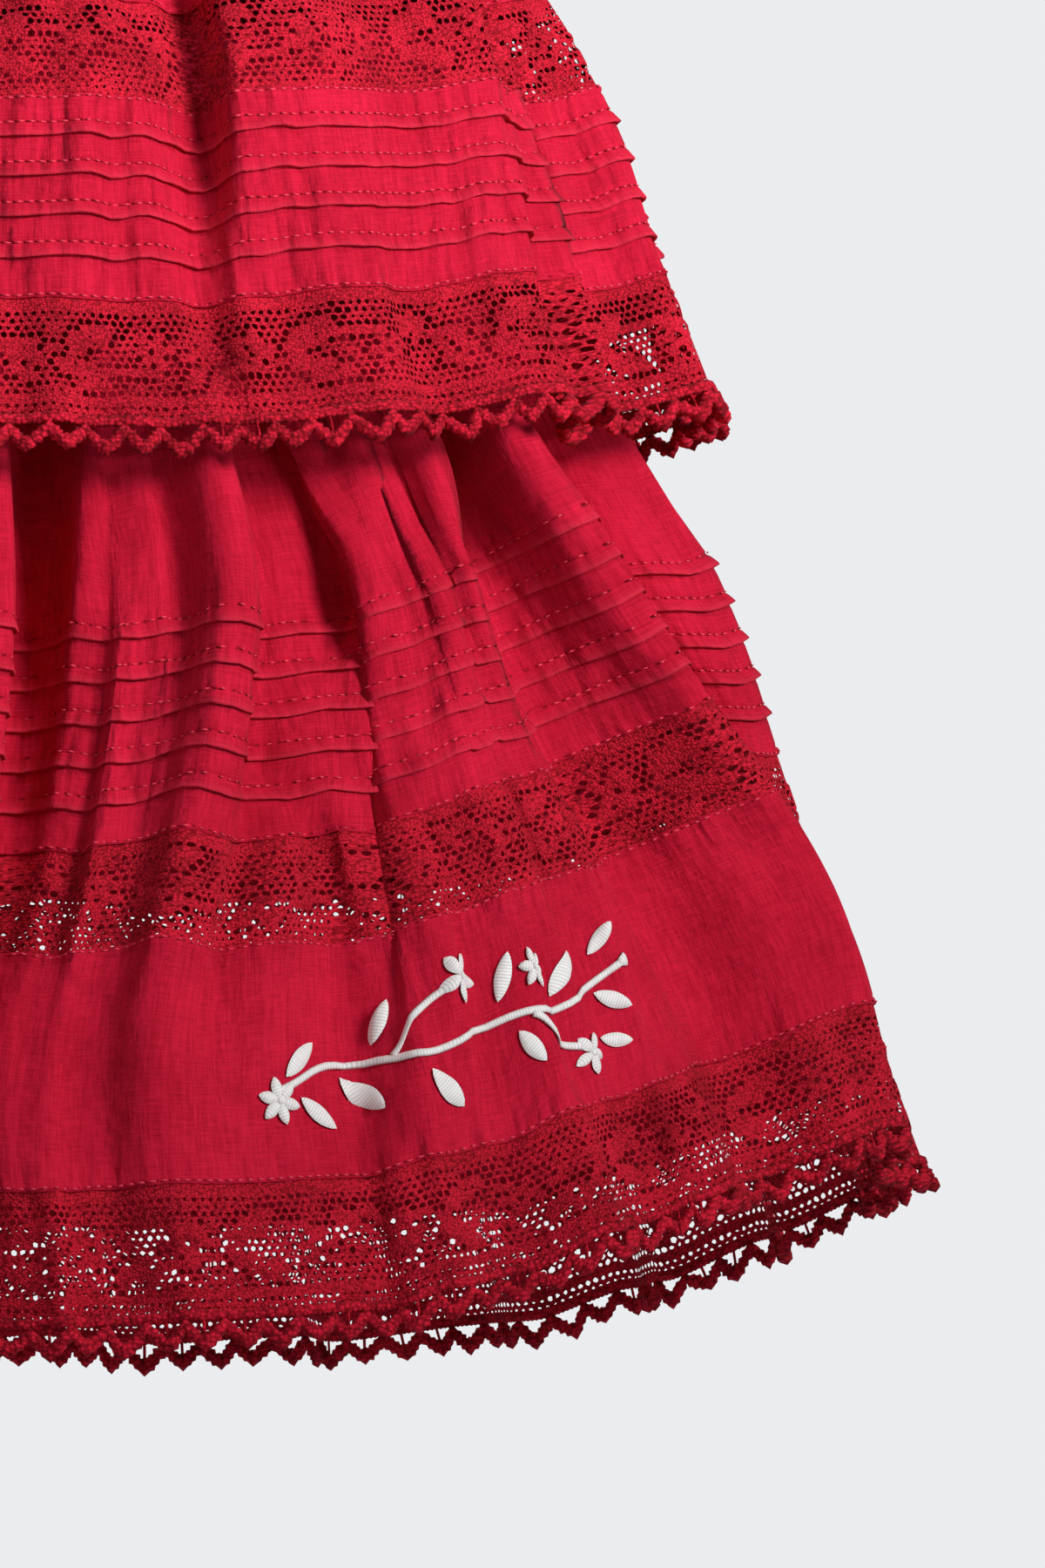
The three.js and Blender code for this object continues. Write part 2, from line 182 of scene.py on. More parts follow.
class Drape:
    """One tier's hanging cloth. A place is counted in folds on from centre front."""

    def __init__(self, tier, profile, folds, creases, seed):
        self.tier = tier
        self.folds = len(folds)
        self.per_fold = 2 * POINTS_PER_HALF_FOLD
        self.columns = self.folds * self.per_fold
        self.length = tier["ends"]["picot_edging"]
        self.profile = np.array(profile, float)
        self.fold = dict(zip(FOLD_COLUMNS, np.array(folds, float).T))
        self.creases = creases
        steps = math.ceil(self.length / MARCH_STEP)
        self.step = self.length / steps
        self.rows = self.hang(steps)
        spans = np.linalg.norm(np.roll(self.rows, -1, 1) - self.rows, axis=2)
        self.lengths = np.concatenate([np.zeros((len(spans), 1)), np.cumsum(spans, 1)], 1)
        before = 2 * self.rows[:1] - self.rows[1:2]
        after = 2 * self.rows[-1:] - self.rows[-2:-1]
        self.padded = np.concatenate([before, self.rows, after, after])
        draw = np.random.default_rng(seed)
        self.waves = [
            (draw.integers(lowest, highest), draw.uniform(-0.02, 0.02), draw.uniform(0, 6.3), size)
            for lowest, highest, size, count in WAVES
            for _ in range(count)
        ]

    def mean_line(self, down):
        held = max(down, 0)
        return [np.interp(held, self.profile[:, 0], self.profile[:, i]) for i in (1, 2)]

    def knots(self, down):
        """Angle, out and lift of every crest and trough in turn."""
        fold = self.fold
        t = down / self.length
        lean = soften((t - LEAN_START) / LEAN_SHARE)
        gathered = soften(down / self.tier["gather_length"])
        crest = mix(fold["top"], fold["hem"], lean)
        onward = np.roll(crest, -1)
        onward[-1] += 360
        lift = gathered * mix(fold["lift_top"], fold["lift_hem"], t)
        next_lift = np.roll(lift, -1)
        low, high = np.minimum(lift, next_lift), np.maximum(lift, next_lift)
        out = gathered * mix(fold["out_top"], fold["out_hem"], t)
        dip = -gathered * mix(fold["dip_top"], fold["dip_hem"], t)
        trough = mix(crest, onward, fold["trough"])
        pairs = ((crest, trough), (out, dip), (lift, mix(low, high, TROUGH_LIFT)))
        return [np.stack(pair, 1).ravel() for pair in pairs]

    def hang(self, steps):
        """A row lies one step of cloth below the last, so a wider flare lifts what is below."""
        column = np.arange(self.columns)
        knot = column // POINTS_PER_HALF_FOLD
        after = (knot + 1) % (2 * self.folds)
        t = (column % POINTS_PER_HALF_FOLD) / POINTS_PER_HALF_FOLD
        turn = np.where(after == 0, 360, 0)
        height = np.full(self.columns, float(self.tier["top_z"]))
        rows = []
        for s in range(steps + 1):
            down = s * self.step
            width, depth = self.mean_line(down)
            width_above, depth_above = self.mean_line(down - self.step)
            angles, outs, lifts = self.knots(down)
            angle = np.radians(mix(angles[knot], angles[after] + turn, t))
            out = mix(outs[knot], outs[after], soften(t))
            lift = mix(lifts[knot], lifts[after], soften(t))
            x = (width + out) * np.sin(angle)
            y = -(depth + out) * np.cos(angle)
            if rows:
                own = np.hypot(x - rows[-1][:, 0], y - rows[-1][:, 1])
                shared = np.hypot((width - width_above) * np.sin(angle),
                                  (depth - depth_above) * np.cos(angle))
                across = mix(shared, own, OWN_RISE)
                least = (STEEPEST * self.step) ** 2
                height = height - np.sqrt(np.maximum(self.step**2 - across**2, least))
            rows.append(np.stack([x, y, height + lift], 1))
        return np.array(rows)

    def middle(self, place, down):
        """Points on the cloth's middle, smooth between rows and columns."""
        column = place * self.per_fold
        row = np.clip(down / self.step, -0.9, len(self.rows) - 1 + 0.9)
        first_column, first_row = np.floor(column).astype(int), np.floor(row).astype(int)
        across = spline_weights((column - first_column)[:, None])
        along = spline_weights((row - first_row)[:, None])
        points = 0
        for i in range(4):
            line = np.clip(first_row + i, 0, len(self.padded) - 1)
            for j in range(4):
                at = (first_column - 1 + j) % self.columns
                points = points + along[i] * across[j] * self.padded[line, at]
        return points

    def along(self, place, down):
        """How far round the cloth a place lies, in millimetres from centre front."""
        row = np.clip(np.rint(down / self.step).astype(int), 0, len(self.rows) - 1)
        turns = np.floor(place / self.folds)
        column = (place - turns * self.folds) * self.per_fold
        first = np.clip(np.floor(column).astype(int), 0, self.columns - 1)
        near, far = self.lengths[row, first], self.lengths[row, first + 1]
        return mix(near, far, column - first) + turns * self.lengths[row, -1]

    def stretch(self, span, down):
        """Places and lengths along one strip's middle line, to space out what repeats."""
        places = np.linspace(*span, int((span[1] - span[0]) * self.per_fold) + 1)
        lengths = self.along(places, np.full(len(places), float(down)))
        return places, lengths - lengths[0]

    def relief(self, place, down):
        """Creases and soft swells that wearing the skirt leaves in the cloth."""
        turn = place / self.folds * 2 * math.pi
        height = soften(down / WAVE_START) * sum(
            size * np.sin(count * turn + slant * down * WAVE_LEAN + phase
                          + WAVE_SWAY * np.sin(down / WAVE_SWAY_SPAN + phase))
            for count, slant, phase, size in self.waves
        )
        here = self.along(place, down)
        for start, end, top, bottom, width, depth in self.creases:
            t = (down - top) / (bottom - top)
            inside = (t > 0) & (t < 1)
            centre = mix(start, end, t[inside])
            away = here[inside] - self.along(centre, down[inside])
            round_trip = self.lengths[-1, -1]
            away = (away + round_trip / 2) % round_trip - round_trip / 2
            fade = np.sin(math.pi * t[inside]) ** CREASE_ROUNDING
            height[inside] += CREASE_STRENGTH * depth * fade * np.exp(-((away / width) ** 2))
        for seam in self.tier["side_seams"]:
            away = (place - seam + self.folds / 2) % self.folds - self.folds / 2
            height -= SIDE_SEAM_DEPTH * np.exp(-((away / SIDE_SEAM_HALF_WIDTH) ** 2))
        return height

    def cloth(self, place, down, out):
        """Points on the cloth with its creases, so far out from its middle."""
        aside, below = NORMAL_STEP_ROUND, NORMAL_STEP_DOWN
        around = self.middle(place + aside, down) - self.middle(place - aside, down)
        upward = self.middle(place, down - below) - self.middle(place, down + below)
        normal = np.cross(around, upward)
        normal /= np.linalg.norm(normal, axis=1)[:, None]
        return self.middle(place, down) + normal * (out + self.relief(place, down))[:, None]


# Creases that fall with the cloth: place in folds where each starts and ends, how far down, how
# wide it is, and how far it stands out or, below nought, falls in
UPPER_CREASES = [
    (0.66, 0.47, 16, 150, 5.6, -5), (0.83, 0.64, -20, 150, 5.5, 4.2),
    (1.55, 1.15, -60, 250, 15, 2.5), (2.62, 2.12, -60, 260, 5, 6.5),
    (2.79, 2.29, -60, 250, 5.6, -8), (3.05, 2.60, -60, 240, 8.5, -4),
    (3.40, 3.30, -40, 200, 7, 3), (3.9, 3.8, -30, 190, 7, -4),
    (-0.35, -0.2, -20, 150, 6, 2.5), (-1.3, -1.2, -40, 140, 8, -6),
    (-2, -1.9, -40, 220, 6.5, 3), (-2.8, -2.6, -40, 200, 8, -5),
    (1, 0.95, 66, 118, 3, -1.2), (1.75, 1.7, 70, 130, 3.4, 1.2),
    (2.2, 1.95, 60, 128, 3.2, -1.4), (0.2, 0.25, 74, 146, 3.6, -1.1),
    (-0.7, -0.8, 68, 126, 3, 1.1), (3, 3.1, 62, 120, 3, 1.3),
    (4.7, 4.6, -40, 150, 8, -6), (5.3, 5.2, -40, 220, 7, 3.2),
    (5.9, 5.8, -30, 190, 7.5, -4.5), (6.7, 6.8, -40, 240, 6.5, 3.5),
    (7.2, 7.1, -40, 150, 8.5, -6.5), (8.1, 8, -40, 210, 7, 2.8),
    (8.6, 8.7, -30, 190, 7.5, -5), (9.4, 9.5, -40, 230, 6.5, 3.4),
    (9.9, 9.8, -40, 146, 8, -6), (10.8, 10.7, -40, 220, 7, 3),
    (11.4, 11.3, -30, 190, 7.5, -4.6), (12.2, 12.1, -40, 220, 6.5, 3.2),
    (12.7, 12.6, -40, 150, 8, -6),
]
LOWER_CREASES = [
    (0.44, 0.34, -10, 215, 7.5, -10.5), (0.12, 0.16, 10, 250, 6.5, 3.5),
    (0.95, 0.80, 20, 230, 7, -5.5), (-0.1, 0.1, 10, 240, 8, 3.5),
    (1.12, 0.62, 20, 128, 4, 4.5), (1.55, 1.55, 10, 250, 16, 2),
    (2.08, 1.80, 20, 215, 5, 4), (2.42, 2.08, 20, 230, 7.5, -8),
    (3.05, 2.80, 92, 235, 8, -6), (3.55, 2.45, 25, 128, 8, -7),
    (3.88, 3.32, 20, 136, 5.2, 2.6), (4.22, 3.80, 20, 150, 6.5, -4.2),
    (4.45, 4.65, 20, 260, 9, 2.4), (5.30, 4.70, 30, 132, 4.4, 4),
    (5.62, 4.92, 40, 164, 7, -6.5), (5.05, 5.20, 120, 262, 11, -4),
    (5.55, 5.70, 150, 330, 13, -7), (4.75, 4.95, 200, 330, 9, -4),
    (5.90, 6.15, 20, 340, 7, 5), (6.55, 6.75, 30, 210, 8, -5.5),
    (7, 7.1, 30, 190, 4.5, 3.5), (7.5, 7.4, 20, 250, 7.5, -4.5),
    (2.05, 2.50, 116, 176, 3.2, -2.2), (2.25, 2.85, 130, 200, 3.4, 1.8),
    (2.6, 3.2, 140, 210, 3, -2), (1.2, 1.25, 100, 250, 4.4, -2.4),
    (0.6, 0.7, 170, 262, 6, 2.4), (3.9, 4.1, 118, 188, 3.2, -1.8),
    (4.3, 4.2, 96, 160, 3, 1.6), (5.5, 5.45, 120, 190, 3.2, -1.6),
    (6.2, 6.35, 110, 200, 3.6, -1.8), (2.5, 2.65, 176, 256, 5, -3),
    (3.35, 3.3, 176, 246, 5.2, 2.4), (4, 4.1, 178, 256, 6, -3.6),
    (4.9, 4.95, 184, 246, 4, 1.6), (-0.7, -0.6, 20, 190, 8, -7),
    (-1.3, -1.2, 20, 150, 4.5, 4), (-1.9, -1.8, 20, 230, 7.5, -5),
    (-2.7, -2.6, 20, 160, 5, 4), (-3.3, -3.2, 20, 210, 8, -6),
    (-4.2, -4.1, 20, 150, 5, 4), (-4.8, -4.7, 20, 230, 8, -6),
    (-5.5, -5.4, 20, 170, 5, 3.6), (8.4, 8.3, 20, 200, 8, -6),
    (9, 9.1, 20, 160, 4.5, 4), (9.6, 9.7, 20, 220, 7.5, -5.5),
    (10.4, 10.3, 20, 150, 5, 4.2), (11, 10.9, 20, 210, 8, -6),
    (11.8, 11.9, 20, 170, 4.5, 3.8), (12.4, 12.3, 20, 230, 8, -6.5),
    (13.1, 13.2, 20, 150, 5, 4), (13.7, 13.6, 20, 200, 7.5, -5),
    (14.5, 14.4, 20, 160, 5, 4.2), (15.1, 15.2, 20, 230, 8, -6),
    (15.9, 15.8, 20, 150, 4.5, 3.6), (16.4, 16.5, 20, 210, 8, -6),
    (17.3, 17.2, 20, 170, 5, 4), (17.9, 18, 20, 220, 7.5, -5.5),
    (18.6, 18.5, 20, 150, 5, 4), (19.2, 19.3, 20, 200, 8, -6),
]

# Cloth, thread and trims
CLOTH_THICKNESS = 0.25
COTTON_SPACING = 2.9
PLAIN_ROW = 3.2
STITCH_PITCH = 2.7
STITCH_LENGTH = 2.15
STITCH_WIDTH = 0.64
SEAM_STITCH_DOWN = 0.8
LACE_OVERLAP = 1.0
LACE_DEPTH = -0.3
CELL_WIDTH = 2.15
CELL_HEIGHT = 1.72
LACE_REPEAT = 57
LACE_SEED = 11
LACE_CLOSENESS = {"let_in_lace": 1.15, "hem_lace": 1.0}
LADDERS = {"let_in_lace": (1,), "hem_lace": (1, -3)}
LACE_RAISE = 0.55
LACE_JITTER = 0.15
# How far the threads reach in from the sides of each kind of cell, in millimetres
THREAD = {"loose": 0.45, "net": 0.55, "dense": 0.68, "open": 0.3, "ladder": 0.34}
# Patches of the net that are woven dense or loose: their spans, and the draw that stirs them
PATCH_SPANS = (5.3, 3.1, 2.3)
PATCH_DRAW = 2.4
DENSE_FROM = 2.1
LOOSE_UNTIL = 0.3
PIERCED_SHARE = 0.24
OPEN_RIM = 1.6
KINK = 0.35

# A turned edge's section, with its stitches beside the fold: down from the edge, out
SEAM_SECTION = [(0, -0.1), (0.15, 0.35), (SEAM_STITCH_DOWN, 0.3), (1.4, 0.4), (2.2, -0.1),
                (3.2, 0.05)]

# A tuck's section from its stitch line to just under its folded edge: down from that edge, out
TUCK_SECTION = [
    (-5.4, 0), (-4.2, 0.05), (-3.75, -0.3), (-3.4, -0.1), (-2.6, 0.35), (-1.4, 0.75), (-0.4, 1.12),
    (0, 1.16), (0.14, 0.95), (-0.1, 0.55), (-0.4, 0.15), (0.2, -0.25), (1.4, -0.1),
]


def panel_rows(start, end, tucks):
    """A cotton strip's section from top to bottom, both its edges turned under."""
    rows = [(start + down, out) for down, out in SEAM_SECTION]
    bottom = [(end - down, out) for down, out in reversed(SEAM_SECTION)]
    for edge in tucks:
        first = edge + TUCK_SECTION[0][0]
        rows += plain_rows(rows[-1][0], first) + [(edge + down, out) for down, out in TUCK_SECTION]
    return rows + plain_rows(rows[-1][0], bottom[0][0]) + bottom


def plain_rows(start, end):
    count = max(round((end - start) / PLAIN_ROW), 1)
    return [(mix(start, end, i / count), 0) for i in range(1, count)]


def flat_grid(columns, rows):
    bm = bmesh.new()
    bmesh.ops.create_grid(bm, x_segments=columns, y_segments=rows, size=1)
    return bm


def grid_places(bm):
    """Each vertex's share along the grid, and how many rows down it is in shares."""
    return np.array([((v.co.x + 1) / 2, (1 - v.co.y) / 2) for v in bm.verts])


def set_places(bm, points):
    for vertex, point in zip(bm.verts, points):
        vertex.co = point


def to_mesh(bm, name):
    mesh = bpy.data.meshes.new(name)
    bm.to_mesh(mesh)
    bm.free()
    mesh.shade_smooth()
    return mesh


def add_map(mesh, name, values):
    """A UV map with one pair a vertex."""
    corners = np.zeros(len(mesh.loops), int)
    mesh.loops.foreach_get("vertex_index", corners)
    layer = mesh.uv_layers.new(name=name)
    layer.data.foreach_set("uv", np.asarray(values, float)[corners].ravel())


def thicken(piece):
    """The cloth's thickness, taken off its inner side."""
    wall = piece.modifiers.new("thickness", "SOLIDIFY")
    wall.thickness = CLOTH_THICKNESS * MM
    wall.offset = -1


def finish_piece(piece, material, nodes=()):
    piece.data.materials.append(MATERIALS[material])
    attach(piece, "root")
    if nodes:
        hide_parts(*nodes)
    return piece


def wavy(lengths, seed, size):
    """Small uneven kinks along a sewn fold, in millimetres."""
    draw = np.random.default_rng(seed)
    turns = [(draw.uniform(0.1, 0.55), draw.uniform(0, 6.3)) for _ in range(6)]
    return size * sum(np.sin(lengths * rate + phase) for rate, phase in turns) / 3


def cotton_strip(drape, span, rows, stitch_lines, node, seed):
    """One cotton piece of a tier: a grid bent to the section's rows and the drape's folds."""
    name = node + "_cloth"
    rows = np.array(rows)
    middle = (rows[0, 0] + rows[-1, 0]) / 2
    places, lengths = drape.stretch(span, middle)
    columns = round(lengths[-1] / COTTON_SPACING)
    bm = flat_grid(columns, len(rows) - 1)
    share, level = grid_places(bm).T
    length = share * lengths[-1]
    place = np.interp(length, lengths, places)
    steps = level * (len(rows) - 1)
    down = np.interp(steps, np.arange(len(rows)), rows[:, 0])
    out = np.interp(steps, np.arange(len(rows)), rows[:, 1])
    whole = drape.along(place, np.full(len(place), middle))
    kink = wavy(whole, seed, KINK) * np.clip(np.abs(out) * 1.5, 0, 1)
    flare = 1 + KINK * wavy(whole, seed + 1, 1)
    inner = np.clip(np.minimum(down - rows[0, 0], rows[-1, 0] - down) / 3, 0, 1)
    raised = np.where(out > 0.2, out * flare, out)
    points = drape.cloth(place, down + kink * inner, raised) * MM
    set_places(bm, points)
    mesh = to_mesh(bm, name)
    add_map(mesh, "cloth", np.stack([whole, down], 1) * MM)
    lines = np.array(stitch_lines)
    nearest = lines[np.argmin(np.abs(down[:, None] - lines[None, :]), 1)]
    add_map(mesh, "stitch", np.stack([whole / STITCH_PITCH, np.abs(down - nearest)], 1))
    gathered = np.exp(-(np.abs(down - nearest) / 7) ** 2)
    # First a mask for the painted highlight on the raised tuck edges, then nearness to a stitch
    # line for the puckers
    add_map(mesh, "edge_highlight_and_gather", np.stack([np.clip(out - 0.6, 0, 0.5) * 2, gathered], 1))
    piece = link(mesh, name)
    thicken(piece)
    return finish_piece(piece, "cotton", [node])


def stitch_row(drape, span, down, out):
    """Places for one row of stitches: points with the cloth's direction and normal there."""
    places, lengths = drape.stretch(span, down)
    start = drape.along(places[:1], np.array([float(down)]))[0]
    first = math.ceil(start / STITCH_PITCH) + 0.5
    count = int(lengths[-1] / STITCH_PITCH) - 1
    along = (first + np.arange(count)) * STITCH_PITCH - start
    place = np.interp(along, lengths, places)
    level = np.full(count, float(down))
    here = drape.cloth(place, level, np.full(count, out))
    after = drape.cloth(place + NORMAL_STEP_ROUND, level, np.full(count, out))
    outer = drape.cloth(place, level, np.full(count, out + 1))
    return here, after - here, outer - here


def joined_copies(name, template, centres, directions, normals):
    """Copies of one small shape in one mesh, its x along each direction and z along each normal."""
    corners = np.array([v.co for v in template.verts])
    faces = [[v.index for v in face.verts] for face in template.faces]
    template.free()
    ahead = directions / np.linalg.norm(directions, axis=1)[:, None]
    above = normals / np.linalg.norm(normals, axis=1)[:, None]
    side = np.cross(above, ahead)
    turned = (
        corners[None, :, 0:1] * ahead[:, None]
        + corners[None, :, 1:2] * side[:, None]
        + corners[None, :, 2:3] * above[:, None]
    )
    points = (centres[:, None] + turned).reshape(-1, 3) * MM
    count = len(corners)
    all_faces = [[i * count + v for v in face] for i in range(len(centres)) for face in faces]
    mesh = bpy.data.meshes.new(name)
    mesh.from_pydata(points.tolist(), [], all_faces)
    mesh.shade_smooth()
    return link(mesh, name)


def stitch_shape():
    """One stitch: a long bead of thread that lies along x."""
    bm = bmesh.new()
    bmesh.ops.create_uvsphere(bm, u_segments=4, v_segments=2, radius=0.5)
    for vertex in bm.verts:
        x, y, z = vertex.co
        vertex.co = (z * STITCH_LENGTH, y * STITCH_WIDTH, x * STITCH_WIDTH)
    bmesh.ops.recalc_face_normals(bm, faces=bm.faces[:])
    bm.verts.index_update()
    return bm


def stitches(drape, span, lines, node):
    """Every row of stitches on one piece, in one mesh."""
    rows = [stitch_row(drape, span, down, out) for down, out in lines]
    centres, directions, normals = (np.concatenate(part) for part in zip(*rows))
    piece = joined_copies(node + "_stitches", stitch_shape(), centres, directions, normals)
    return finish_piece(piece, "stitch")


def turned(x, y, degrees):
    angle = math.radians(degrees)
    return x * math.cos(angle) - y * math.sin(angle), x * math.sin(angle) + y * math.cos(angle)


def oval_distance(x, y, centre_x, centre_y, half_long, half_wide, turn):
    """Roughly how far a point lies outside a leaf, in millimetres."""
    u, v = turned(x - centre_x, y - centre_y, -turn)
    return (np.hypot(u / half_long, v / half_wide) - 1) * half_wide


def flower_distance(x, y, centre_x, centre_y, radius, petals):
    u, v = x - centre_x, y - centre_y
    reach = radius * (0.74 + 0.26 * np.cos(petals * np.arctan2(v, u)))
    return np.maximum(np.hypot(u, v) - reach, 1.3 - np.hypot(u, v))


def lace_distance(x, y, height):
    """How far a place in the lace lies outside its woven flowers, leaves and stem."""
    repeat = np.floor(x / LACE_REPEAT)
    across = x - repeat * LACE_REPEAT
    down = np.where(repeat % 2 == 0, y, height - y)
    middle = height / 2
    shapes = (
        flower_distance(across, down, 12, middle - 1, 6.2, 5),
        flower_distance(across, down, 45, middle + 1.5, 5.2, 6),
        oval_distance(across, down, 27, middle - 4.5, 7.2, 2.7, -24),
        oval_distance(across, down, 29.5, middle + 5, 7.4, 2.8, 20),
        oval_distance(across, down, 54.5, middle - 5, 4.4, 2.1, 38),
        oval_distance(across, down, 2, middle + 7, 4.2, 2.0, -30),
        np.abs(down - middle - 4 * np.sin(across / LACE_REPEAT * 2 * math.pi + 0.5)) - 0.8,
    )
    return np.minimum.reduce(shapes)


def brick_net(length, height, ladders, closeness):
    """A flat net of six-sided cells, x along it and y down it, with its woven shapes filled in."""
    columns, rows = 2 * round(length / CELL_WIDTH), round(height / CELL_HEIGHT)
    bm = flat_grid(columns, rows)
    merged = []
    for edge in bm.edges:
        first, second = edge.verts
        if abs(first.co.x - second.co.x) > 1e-4:
            continue
        line = round((first.co.x + 1) / 2 * columns)
        row = int((1 - (first.co.y + second.co.y) / 2) / 2 * rows)
        if 0 < line < columns and (line + row) % 2 == 1:
            merged.append(edge)
    draw = np.random.default_rng(LACE_SEED)
    for vertex in bm.verts:
        line = round((vertex.co.x + 1) / 2 * columns)
        row = round((1 - vertex.co.y) / 2 * rows)
        inside = 0 < row < rows
        rise = 1 / 6 if (line + row) % 2 == 1 else -1 / 6
        shift = draw.uniform(-LACE_JITTER, LACE_JITTER, 2)
        loose = 1 if inside and 0 < line < columns else 0
        vertex.co.x = (line / columns + shift[0] * loose / columns) * length
        vertex.co.y = (row - (rise if inside else 0) + shift[1] * loose) / rows * height
    bmesh.ops.dissolve_edges(bm, edges=merged, use_verts=False, use_face_split=False)
    bm.faces.ensure_lookup_table()
    middles = np.array([face.calc_center_median()[:2] for face in bm.faces])
    across, down = middles.T
    away = lace_distance(across, down, height)
    rank = np.clip((down / height * rows).astype(int), 0, rows - 1)
    mood = draw.uniform(0, 1, len(middles))
    long, short, fall = PATCH_SPANS
    patch = np.sin(across / long) + np.sin(across / short + down / fall) + PATCH_DRAW * mood
    net = np.where(patch > DENSE_FROM, "dense", np.where(patch < LOOSE_UNTIL, "loose", "net"))
    woven = np.where(mood < PIERCED_SHARE, "dense", "solid")
    kinds = np.where(away < 0, woven, np.where(away < OPEN_RIM, "open", net))
    for ladder in ladders:
        kinds[rank == ladder % rows] = "ladder"
    kinds[rank == rows - 1] = "dense"
    kinds[rank == 0] = "solid"
    faces = list(bm.faces)
    holes = []
    for kind, thread in THREAD.items():
        chosen = [face for face, own in zip(faces, kinds) if own == kind]
        bmesh.ops.inset_individual(
            bm, faces=chosen, thickness=thread * closeness, use_even_offset=True)
        holes += chosen
    bmesh.ops.delete(bm, geom=holes, context="FACES")
    return bm


def lace_strip(drape, span, start, end, strip, node):
    """Lace as a net of real holes, bent to the tier, its woven shapes a little raised."""
    name = node + "_net"
    top, height = start - LACE_OVERLAP, end - start + 2 * LACE_OVERLAP
    middle = (start + end) / 2
    places, lengths = drape.stretch(span, middle)
    bm = brick_net(lengths[-1], height, LADDERS[strip], LACE_CLOSENESS[strip])
    flat = np.array([vertex.co[:2] for vertex in bm.verts])
    raised = np.clip(0.5 - lace_distance(flat[:, 0], flat[:, 1], height), 0, 1) * LACE_RAISE
    place = np.interp(flat[:, 0], lengths, places)
    out = LACE_DEPTH + raised
    set_places(bm, drape.cloth(place, flat[:, 1] + top, out) * MM)
    bmesh.ops.reverse_faces(bm, faces=bm.faces[:])
    mesh = to_mesh(bm, name)
    add_map(mesh, "cloth", np.stack([flat[:, 0], flat[:, 1] + top], 1) * MM)
    return finish_piece(link(mesh, name), "lace", [node])


# Picot edging: a crocheted band above, and a thick cord in pointed loops below it
BAND_HEIGHT = 2.8
BAND_STITCH = 1.25
BAND_HALF_WALL = 0.95
CORD_RADIUS = 1.6
CORD_TWIST = 0.26
CORD_SAMPLES = 16
CORD_SIDES = 6
KNOT_GROWTH = 0.4
LOOP_TOP = 3.5
LOOP_TIP = 8.1
TIP_SPREAD = (-0.9, 0.5)
LOOP_LEAN = 1.2
POINTED_SHARE = 0.45
BAND_BULGE = (-0.14, 0.12)
ROOT_NARROWING = 0.12
TIP_REACH = 0.12
ROOT_REACH = 0.1
TWIST_SPREAD = 0.22
CORD_FLATNESS = 0.92
STRAY_SHARE = 0.35
STRAY_RADIUS = 0.38
STRAY_POINTS = 4


def flat_tube(lengths, downs, radii, flatness):
    """A closed tube along a line on the flat cloth: x along, y down and z out, in millimetres."""
    count = len(lengths)
    bm = flat_grid(count - 1, CORD_SIDES)
    share, level = grid_places(bm).T
    at = np.rint(share * (count - 1)).astype(int)
    turn = level * 2 * math.pi
    ahead = np.stack([np.gradient(lengths), np.gradient(downs)], 1)
    ahead /= np.linalg.norm(ahead, axis=1)[:, None]
    side = np.stack([-ahead[:, 1], ahead[:, 0]], 1)
    x = lengths[at] + radii[at] * np.cos(turn) * side[at, 0]
    y = downs[at] + radii[at] * np.cos(turn) * side[at, 1]
    z = -radii[at] * np.sin(turn) * flatness
    set_places(bm, np.stack([x, y, z], 1))
    bmesh.ops.remove_doubles(bm, verts=bm.verts[:], dist=1e-4)
    bmesh.ops.holes_fill(bm, edges=[e for e in bm.edges if e.is_boundary], sides=CORD_SIDES)
    return bm


def join_parts(parts):
    joined = bmesh.new()
    for part in parts:
        mesh = to_mesh(part, "part")
        joined.from_mesh(mesh)
        bpy.data.meshes.remove(mesh)
    return joined


